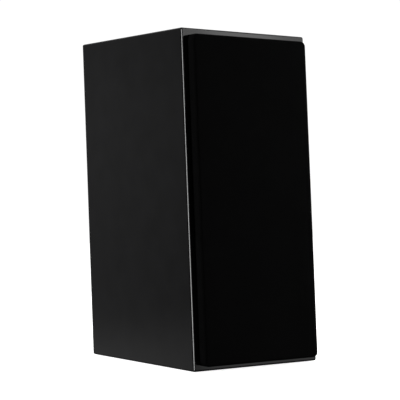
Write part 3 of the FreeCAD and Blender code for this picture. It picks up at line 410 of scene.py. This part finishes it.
def lathe(name, profile, centre, axis, slot_name, segments=128):
    """A closed profile of (radius, offset) in mm turned about the line through centre along "Y" or "Z"."""
    vertices = []
    for radius, offset in profile:
        for i in range(segments):
            a = 2 * math.pi * i / segments
            u, v = radius * MM * math.cos(a), radius * MM * math.sin(a)
            turned = (u, offset * MM, v) if axis == "Y" else (u, v, offset * MM)
            vertices.append(Vector(centre) + Vector(turned))
    return mesh_object(name, vertices, quads(len(profile), segments, closed=True), slot_name)


def offset_line(points, thickness):
    """A closed band: the open line and its copy moved thickness to its left."""
    points = np.array(points, float)
    way = np.gradient(points, axis=0)
    way /= np.linalg.norm(way, axis=1)[:, None]
    moved = points + thickness * np.stack([-way[:, 1], way[:, 0]], axis=1)
    return [tuple(v) for v in points] + [tuple(v) for v in moved[::-1]]


def half_roll(inner, outer, height, base, lip_in, lip_out, count):
    """The line of a half roll that bulges to the front, with flat lips. Offsets grow to the back."""
    middle, radius = (inner + outer) / 2, (outer - inner) / 2
    gap, lip_points, fullness = 0.25, 4, 0.85
    line = [(r, base) for r in np.linspace(lip_in, inner - gap, lip_points)]
    for i in range(count + 1):
        a = math.pi * i / count
        line.append((middle - radius * math.cos(a), base - height * math.sin(a) ** fullness))
    line += [(r, base) for r in np.linspace(outer + gap, lip_out, lip_points)]
    return line


def stretch_between(piece):
    """Bakes the piece's placement into its points. It follows no moving body."""
    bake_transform(piece)


# ------------------------------------------------------------------ stretched grille cloth
CLOTH_THICK = 0.5
CLOTH_IN = 0.08 + CLOTH_THICK / 2  # from the CAD cloth's outer face in to the middle of the sheet
EDGE_ROUND, CORNER_ROUND, BACK_ROUND = 2.5, 5.5, 0.9
HEM, HEM_AT_CORNER = 9.0, 2.6
RAIL, END_RAIL = 11.7, 13.7  # from the cloth's outline in to the frame's windows
BAR_LOW, BAR_HIGH = 184.0, 195.0  # the frame's crossbar
SAG = 0.55
COVER_HALF_W = (CLOTH_HIGH.x - CLOTH_LOW.x) / 2 / MM
COVER_HALF_H = (CLOTH_HIGH.z - CLOTH_LOW.z) / 2 / MM
COVER_MID_Z = (CLOTH_HIGH.z + CLOTH_LOW.z) / 2 / MM
COVER_FRONT, COVER_DEPTH = CLOTH_LOW.y / MM, (CLOTH_HIGH.y - CLOTH_LOW.y) / MM


def outline(step=2.6, corner_points=9):
    """Points round the grille as (x, z, normal x, normal z), symmetric left to right and top to bottom."""
    straight_x, straight_z = COVER_HALF_W - CORNER_ROUND, COVER_HALF_H - CORNER_ROUND
    quarter = []
    for z in np.linspace(0, straight_z, max(2, int(straight_z / step)))[:-1]:
        quarter.append((COVER_HALF_W, z, 1.0, 0.0))
    for a in np.linspace(0, math.pi / 2, corner_points):
        nx, nz = math.cos(a), math.sin(a)
        quarter.append((straight_x + CORNER_ROUND * nx, straight_z + CORNER_ROUND * nz, nx, nz))
    for x in np.linspace(straight_x, 0, max(2, int(straight_x / step)))[1:]:
        quarter.append((x, COVER_HALF_H, 0.0, 1.0))
    left_top = [(-x, z, -nx, nz) for x, z, nx, nz in reversed(quarter[:-1])]
    left_low = [(-x, -z, -nx, -nz) for x, z, nx, nz in quarter[1:]]
    right_low = [(x, -z, nx, -nz) for x, z, nx, nz in reversed(quarter[1:-1])]
    return np.array(quarter + left_top + left_low + right_low)


def ring(edge, inset, depth):
    """The outline moved inwards and back."""
    x, z, nx, nz = edge.T
    return x - inset * nx, np.full_like(x, depth), z - inset * nz


def to_corner(edge):
    """How far each point of the outline is from the nearest corner of its box, in mm."""
    x, z = edge.T[:2]
    return np.hypot(COVER_HALF_W - abs(x), COVER_HALF_H - abs(z))


def sag_at(x, z):
    """How far the cloth hangs back in the frame's two windows, in mm."""
    half_w = COVER_HALF_W - RAIL
    windows = ((CLOTH_LOW.z / MM + END_RAIL, BAR_LOW), (BAR_HIGH, CLOTH_HIGH.z / MM - END_RAIL))
    total = np.zeros_like(x)
    for low, high in windows:
        u, v = np.clip(abs(x) / half_w, 0, 1), np.clip(abs(2 * z - low - high) / (high - low), 0, 1)
        total += SAG * (1 - u**4) * (1 - v**6)
    return total


def front_rings(edge, count=27):
    """From the line down the grille's middle out to where its edge starts to round."""
    x, _, z = ring(edge, EDGE_ROUND, 0.0)
    ridge = COVER_HALF_H - COVER_HALF_W
    ridge_z = np.clip(z, -ridge, ridge)
    rings = []
    for t in np.linspace(1, 0, count):
        ring_x, ring_z = x * (1 - t), z + t * (ridge_z - z)
        rings.append((ring_x, CLOTH_IN + sag_at(ring_x, ring_z + COVER_MID_Z), ring_z))
    return rings


def edge_rings(edge, count=7):
    """Round the front edge."""
    arc = EDGE_ROUND - CLOTH_IN
    angles = np.linspace(0, math.pi / 2, count + 1)[1:]
    return [ring(edge, EDGE_ROUND - arc * math.sin(a), EDGE_ROUND - arc * math.cos(a)) for a in angles]


def side_rings(edge, count=6):
    """Back along the sides, with faint pleats that grow towards the back at the corners."""
    corner = np.clip(1 - to_corner(edge) / 17.0, 0, 1)
    pleat = np.maximum(0.10 * np.sin(np.arange(len(edge)) * 2.1) * corner, -0.05)
    depths = np.linspace(EDGE_ROUND, COVER_DEPTH - BACK_ROUND, count + 1)[1:]
    return [ring(edge, CLOTH_IN + pleat * (d - EDGE_ROUND) / COVER_DEPTH, d) for d in depths]


def back_rings(edge, count=4):
    """Round the back edge."""
    arc, start = BACK_ROUND - CLOTH_IN, COVER_DEPTH - BACK_ROUND
    angles = np.linspace(0, math.pi / 2, count + 1)[1:]
    return [ring(edge, BACK_ROUND - arc * math.cos(a), start + arc * math.sin(a)) for a in angles]


def hem_rings(edge):
    """In over the frame's back, with a slightly uneven cut that is narrow at the corners."""
    along = np.arange(len(edge))
    away = np.clip((to_corner(edge) - 12.0) / 10.0, 0, 1)
    width = HEM_AT_CORNER + (HEM - HEM_AT_CORNER) * away * away * (3 - 2 * away)
    width += 0.35 * away * np.sin(along * 0.37) * np.sin(along * 0.11)
    back = COVER_DEPTH - CLOTH_IN
    return [ring(edge, BACK_ROUND + (width - BACK_ROUND) * t, back) for t in (0.35, 0.7, 1.0)]


def tidy_mesh(piece):
    """Merges points that coincide and makes the faces agree on which side is out."""
    work = bmesh.new()
    work.from_mesh(piece.data)
    bmesh.ops.remove_doubles(work, verts=work.verts, dist=1e-6)
    bmesh.ops.dissolve_degenerate(work, dist=1e-7, edges=work.edges)
    bmesh.ops.recalc_face_normals(work, faces=work.faces)
    for face in work.faces:
        face.smooth = True
    work.to_mesh(piece.data)
    work.free()


def grille_cover():
    """One sheet: front, rounded edges, sides, and a hem folded over the frame's back."""
    edge = outline()
    rings = front_rings(edge) + edge_rings(edge) + side_rings(edge) + back_rings(edge) + hem_rings(edge)
    vertices = []
    for xs, depths, zs in rings:
        for x, depth, z in zip(xs, depths, zs):
            vertices.append((x * MM, (COVER_FRONT + depth) * MM, (z + COVER_MID_Z) * MM))
    faces = quads(len(rings), len(edge), closed=False)
    piece = mesh_object("grille_cover", vertices, faces, "grille_cloth")
    tidy_mesh(piece)
    solid = piece.modifiers.new("thickness", "SOLIDIFY")
    solid.thickness, solid.offset = CLOTH_THICK * MM, 0.0
    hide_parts("grille_cloth")
    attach(piece, "grille")


# ------------------------------------------------------------------ soft moving parts of the drivers
ROLL_IN_R, ROLL_OUT_R = 40.1, 48.9  # the woofer's half roll
SOFT_IN_R, SOFT_OUT_R = 12.95, 15.3  # the tweeter's soft roll
SPIDER_IN_R, SPIDER_OUT_R, SPIDER_DEPTH, SPIDER_THICK = 13.4, 38.0, 30.5, 0.42
WAVES, WAVE_HEIGHT, WAVE_IN_R, WAVE_OUT_R = 5, 0.95, 14.6, 32.6
FADE, FLAT_FROM_R = 1.5, 32.8  # the waves fade out over this length, up to this radius


def woofer_surround():
    roll = half_roll(ROLL_IN_R, ROLL_OUT_R, height=4.2, base=0.72, lip_in=38.0, lip_out=51.3, count=28)
    profile = offset_line(roll, 0.76)
    surround = lathe("woofer_half_roll", profile, WOOFER_FACE, "Y", "surround_rubber", 160)
    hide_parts("woofer_surround")
    stretch_between(surround)


def woofer_spider():
    """A corrugated disc, flat where it is glued."""
    radii = np.linspace(SPIDER_IN_R, SPIDER_OUT_R, 120)
    swell = np.clip((radii - WAVE_IN_R) / FADE, 0, 1) * np.clip((FLAT_FROM_R - radii) / FADE, 0, 1)
    angles = (radii - WAVE_IN_R) / (WAVE_OUT_R - WAVE_IN_R) * WAVES * 2 * math.pi
    line = np.stack([radii, SPIDER_DEPTH + WAVE_HEIGHT * swell * np.sin(angles)], axis=1)
    profile = offset_line(line, SPIDER_THICK)
    spider = lathe("woofer_spider_disc", profile, WOOFER_FACE, "Y", "spider", 144)
    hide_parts("woofer_spider")
    stretch_between(spider)


def tweeter_soft_roll():
    roll = half_roll(SOFT_IN_R, SOFT_OUT_R, height=1.15, base=7.22, lip_in=12.65, lip_out=16.1, count=20)
    soft_roll = lathe("tweeter_soft_roll", offset_line(roll, 0.26), TWEETER_FACE, "Y", "silk")
    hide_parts("tweeter_surround")
    stretch_between(soft_roll)


# ------------------------------------------------------------------ damping wadding
PAD_CUTS = 35
PAD_INSET, PAD_LUMP, PAD_ROUNDING = 2.2, 1.8, 55  # mm
PAD_NOISE_SCALE = 45  # per metre
PAD_NOISE = ((1.0, 0.6), (3.1, 0.3), (9.7, 0.12))  # how much finer, and its share
CROWN = 1.6  # how strongly the cube's points crowd towards its edges
PAD_EDGE_FROM, PAD_ROUND_FROM = 0.55, 0.8  # of half the pad, where the inset and the rounding start
FLAT_AGAINST_WALL = 0.12


def pad_point(cube, centre, half, wall):
    """Where a point of a cube from -1 to 1 lies on the pad. The side towards the wall stays nearly flat."""
    reach = [abs(c) for c in cube]
    crown = Vector([math.copysign(h * (1 - (1 - r) ** CROWN), c) for h, r, c in zip(half, reach, cube)])
    spot = (centre + crown) * PAD_NOISE_SCALE
    lumps = sum(share * noise.noise(spot * finer) for finer, share in PAD_NOISE)
    corner = [max(0.0, r - PAD_ROUND_FROM) for r in reach]
    rounding = corner[0] * corner[1] + corner[1] * corner[2] + corner[0] * corner[2]
    shrink = MM * (PAD_INSET + PAD_LUMP * lumps + PAD_ROUNDING * rounding)
    near_edge = [max(0.0, r - PAD_EDGE_FROM) / (1 - PAD_EDGE_FROM) for r in reach]
    inwards = Vector([-math.copysign(shrink * n, c) for n, c in zip(near_edge, cube)])
    if cube.x * wall > 0.99:
        inwards.x *= FLAT_AGAINST_WALL
    return centre + crown + inwards


def wadding_pad(node_name):
    """A fluffy slab: rounded, thicker in places, flat only against the side board."""
    low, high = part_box(node_name)
    centre, half = (low + high) / 2, (high - low) / 2
    wall = math.copysign(1, centre.x)
    work = bmesh.new()
    bmesh.ops.create_cube(work, size=2.0)
    bmesh.ops.subdivide_edges(work, edges=work.edges, cuts=PAD_CUTS, use_grid_fill=True)
    work.verts.index_update()
    points = [pad_point(vertex.co, centre, half, wall) for vertex in work.verts]
    faces = [[vertex.index for vertex in face.verts] for face in work.faces]
    work.free()
    pad = mesh_object(f"{node_name}_pad", points, faces, "wadding")
    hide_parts(node_name)
    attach(pad, "cabinet")


# ------------------------------------------------------------------ wound coils of the crossover
WIRE, BULGE, POINTS_PER_TURN, COIL_CORNER = 1.1, 0.38, 6, 0.5


def ridges(a, b, out):
    """Half circles from a to b, bulging along out as far as the line between them."""
    a, b, out = np.array(a, float), np.array(b, float), np.array(out, float)
    turns = max(1, round(float(np.linalg.norm(b - a)) / WIRE))
    made = []
    for i in range(turns * POINTS_PER_TURN):
        dip = math.sin(math.pi * (i % POINTS_PER_TURN) / POINTS_PER_TURN) - 1
        made.append(tuple(a + (b - a) * i / (turns * POINTS_PER_TURN) + out * WIRE * BULGE * dip))
    return made


def wound_coil(node_name, inner):
    """Layers of enamelled wire: each turn shows as a ridge on every face."""
    low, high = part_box(node_name)
    outer, tall = (high.x - low.x) / 2 / MM, (high.z - low.z) / MM
    base = ((low.x + high.x) / 2, (low.y + high.y) / 2, low.z)
    near, far, top = inner + COIL_CORNER, outer - COIL_CORNER, tall - COIL_CORNER
    profile = ridges((outer, COIL_CORNER), (outer, top), (1, 0))
    profile += ridges((far, tall), (near, tall), (0, 1))
    profile += ridges((inner, top), (inner, COIL_CORNER), (-1, 0))
    profile += ridges((near, 0), (far, 0), (0, -1))
    coil = lathe(f"{node_name}_winding", profile, base, "Z", "copper", 96)
    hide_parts(node_name)
    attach(coil, "cabinet")


grille_cover()
woofer_surround()
woofer_spider()
tweeter_soft_roll()
for side in ("left", "right"):
    wadding_pad(f"wadding_{side}")
wound_coil("woofer_inductor", 11.0)
wound_coil("tweeter_inductor", 6.0)


# ------------------------------------------------------------------ camera
YAW, PITCH, ROLL = math.radians(35.529), math.radians(2.1805), math.radians(-0.2378)
CAMERA_PLACE = (-848.21, -1108.19, 176.13)  # mm from the middle of the baffle's lower front edge
SENSOR, LENS = 36, 123.2262  # mm
LEAN, SHIFT_RIGHT, SHIFT_DOWN = 0.03416, 0.0022568, 0.0434713  # per unit of distance ahead


def photo_camera():
    """The photograph's view. It is a crop whose verticals lean while its horizon is level, so the camera is
    sheared."""
    place = Vector(CAMERA_PLACE) * MM + Vector((0, BAFFLE_Y, BAFFLE_LOW.z))
    ahead = Vector((math.sin(YAW) * math.cos(PITCH), math.cos(YAW) * math.cos(PITCH), math.sin(PITCH)))
    level = Vector((math.cos(YAW), -math.sin(YAW), 0))
    upward = level.cross(ahead)
    right = level * math.cos(ROLL) + upward * math.sin(ROLL)
    up = upward * math.cos(ROLL) - level * math.sin(ROLL)
    upright = Matrix((right, up, -ahead)).transposed().to_4x4()
    upright.translation = place
    shear = Matrix(((1, -LEAN, -SHIFT_RIGHT, 0), (0, 1, -SHIFT_DOWN, 0), (0, 0, 1, 0), (0, 0, 0, 1)))
    rig = bpy.data.objects.new("camera_rig", None)
    camera = bpy.data.objects.new("camera", bpy.data.cameras.new("camera"))
    for obj in (rig, camera):
        SCENE.collection.objects.link(obj)
    camera.data.sensor_width, camera.data.lens = SENSOR, LENS
    camera.parent = rig
    camera.matrix_parent_inverse = upright @ shear.inverted()
    SCENE.camera = camera


# ------------------------------------------------------------------ light, floor and background
AIM = Vector((0, 0, 0.17))  # about the cabinet's middle
# Each light's name, azimuth and elevation in degrees, then its distance, width and height in metres, and its
# radiance. Azimuth 0 is in front, and 90 is to the right as seen from the front.
FILL_LIGHTS = (
    ("overhead", 0, 88, 1.6, 2.4, 2.4, 0.9),
    ("left_fill", -103, 10, 1.8, 1.0, 1.0, 11.0),
    ("right_fill", 62, 12, 0.7, 0.4, 0.5, 9.0),
    ("ground_fill", 15, -25, 1.5, 0.8, 0.5, 1.6),
)
REFLECTED_LIGHTS = (
    ("front_right_wide", 35, 22, 1.8, 1.1, 1.0, 1.55),
    ("front_right_box", 35.4, 22, 1.7, 0.16, 1.0, 1.1),
    ("front_right_low", 37.75, -12.5, 1.8, 0.39, 0.16, 0.45),
    ("front_left_low", -15, -8, 1.8, 1.4, 0.7, 0.6),
    ("edge_strip", -45, -0.5, 1.8, 0.8, 0.82, 13.0),
)
# What reflections and fill see of the room: how far up a ray points, from -1 to 1, and the brightness there.
WORLD_BY_HEIGHT = ((-1.0, 0.02), (-0.6, 0.04), (-0.35, 0.12), (-0.2, 0.18), (-0.15, 0.33), (-0.13, 0.345),
                   (-0.118, 0.31), (-0.107, 0.25), (-0.098, 0.18), (-0.09, 0.15), (-0.08, 0.136),
                   (-0.045, 0.14), (0.0, 0.158), (0.04, 0.172), (0.065, 0.172), (0.1, 0.148), (0.4, 0.16),
                   (1.0, 0.4))
WORLD_SIDE = (0.83, 0.56, 0)  # the direction that the room brightens towards
WORLD_BY_SIDE = ((-0.35, 0.02), (-0.14, 0.24), (-0.08, 0.63), (-0.055, 0.69), (-0.015, 0.79), (0.04, 0.96),
                 (0.3, 1.0), (0.5, 3.0), (1.0, 4.0))
FLOOR_HALF = 3.0


def softbox(name, azimuth, elevation, distance, width, height, radiance, glossy=True, diffuse=True):
    """A rectangular light aimed at the cabinet's middle."""
    a, e = math.radians(azimuth), math.radians(elevation)
    way = Vector((math.sin(a) * math.cos(e), -math.cos(a) * math.cos(e), math.sin(e)))
    data = bpy.data.lights.new(name, "AREA")
    data.shape = "RECTANGLE"
    data.size, data.size_y = width, height
    data.energy = radiance * math.pi * width * height
    light = bpy.data.objects.new(name, data)
    light.location = AIM + way * distance
    light.rotation_euler = way.to_track_quat("Z", "Y").to_euler()
    light.visible_camera = False
    light.visible_glossy, light.visible_diffuse = glossy, diffuse
    SCENE.collection.objects.link(light)


def studio_world():
    """White to the camera. Reflections and fill see a dimmer room: lighter towards the ground and behind the
    cabinet, and darkest on its left."""
    world = bpy.data.worlds.new("studio")
    world.use_nodes = True
    tree = world.node_tree
    tree.nodes.clear()
    add, link = tree.nodes.new, tree.links.new
    coord = add("ShaderNodeTexCoord")

    def along(direction, stops):
        """A grey ramp over how far a ray points along a direction, from -1 to 1."""
        dot, half, ramp = add("ShaderNodeVectorMath"), add("ShaderNodeMath"), add("ShaderNodeValToRGB")
        dot.operation = "DOT_PRODUCT"
        dot.inputs[1].default_value = direction
        half.operation = "MULTIPLY_ADD"
        half.inputs[1].default_value = half.inputs[2].default_value = 0.5
        while len(ramp.color_ramp.elements) < len(stops):
            ramp.color_ramp.elements.new(0.5)
        for element, (reach, value) in zip(ramp.color_ramp.elements, stops):
            element.position = (reach + 1) / 2
            element.color = (value, value, value, 1)
        link(coord.outputs["Generated"], dot.inputs[0])
        link(dot.outputs["Value"], half.inputs[0])
        link(half.outputs[0], ramp.inputs["Fac"])
        return ramp.outputs["Color"]

    product = add("ShaderNodeVectorMath")
    product.operation = "MULTIPLY"
    link(along((0, 0, 1), WORLD_BY_HEIGHT), product.inputs[0])
    link(along(WORLD_SIDE, WORLD_BY_SIDE), product.inputs[1])
    white, room = add("ShaderNodeBackground"), add("ShaderNodeBackground")
    white.inputs["Color"].default_value = (1, 1, 1, 1)
    white.inputs["Strength"].default_value = 1.05
    link(product.outputs["Vector"], room.inputs["Color"])
    path, mix, out = add("ShaderNodeLightPath"), add("ShaderNodeMixShader"), add("ShaderNodeOutputWorld")
    link(path.outputs["Is Camera Ray"], mix.inputs["Fac"])
    link(room.outputs[0], mix.inputs[1])
    link(white.outputs[0], mix.inputs[2])
    link(mix.outputs[0], out.inputs["Surface"])
    SCENE.world = world


def floor():
    """Plain and pale, and left out of the cabinet's reflections and fill."""
    corners = [(x * FLOOR_HALF, y * FLOOR_HALF, 0) for x, y in ((-1, -1), (1, -1), (1, 1), (-1, 1))]
    mesh = bpy.data.meshes.new("floor")
    mesh.from_pydata(corners, [], [(0, 1, 2, 3)])
    obj = bpy.data.objects.new("floor", mesh)
    s = Shader("floor_paint", (0.9, 0.9, 0.9), 0.9, Specular_IOR_Level=0.1, Emission_Strength=0.95)
    s.tint(s.noise(900, 2.0), (0.88, 0.88, 0.88), (0.92, 0.92, 0.92))
    s.bsdf.inputs["Emission Color"].default_value = (1, 1, 1, 1)
    mesh.materials.append(s.material)
    SCENE.collection.objects.link(obj)
    obj.visible_glossy = obj.visible_diffuse = obj.visible_shadow = False


photo_camera()
studio_world()
floor()
for light in FILL_LIGHTS:
    softbox(*light, glossy=False)
for light in REFLECTED_LIGHTS:
    softbox(*light, diffuse=False)
SCENE.view_settings.view_transform = "Standard"
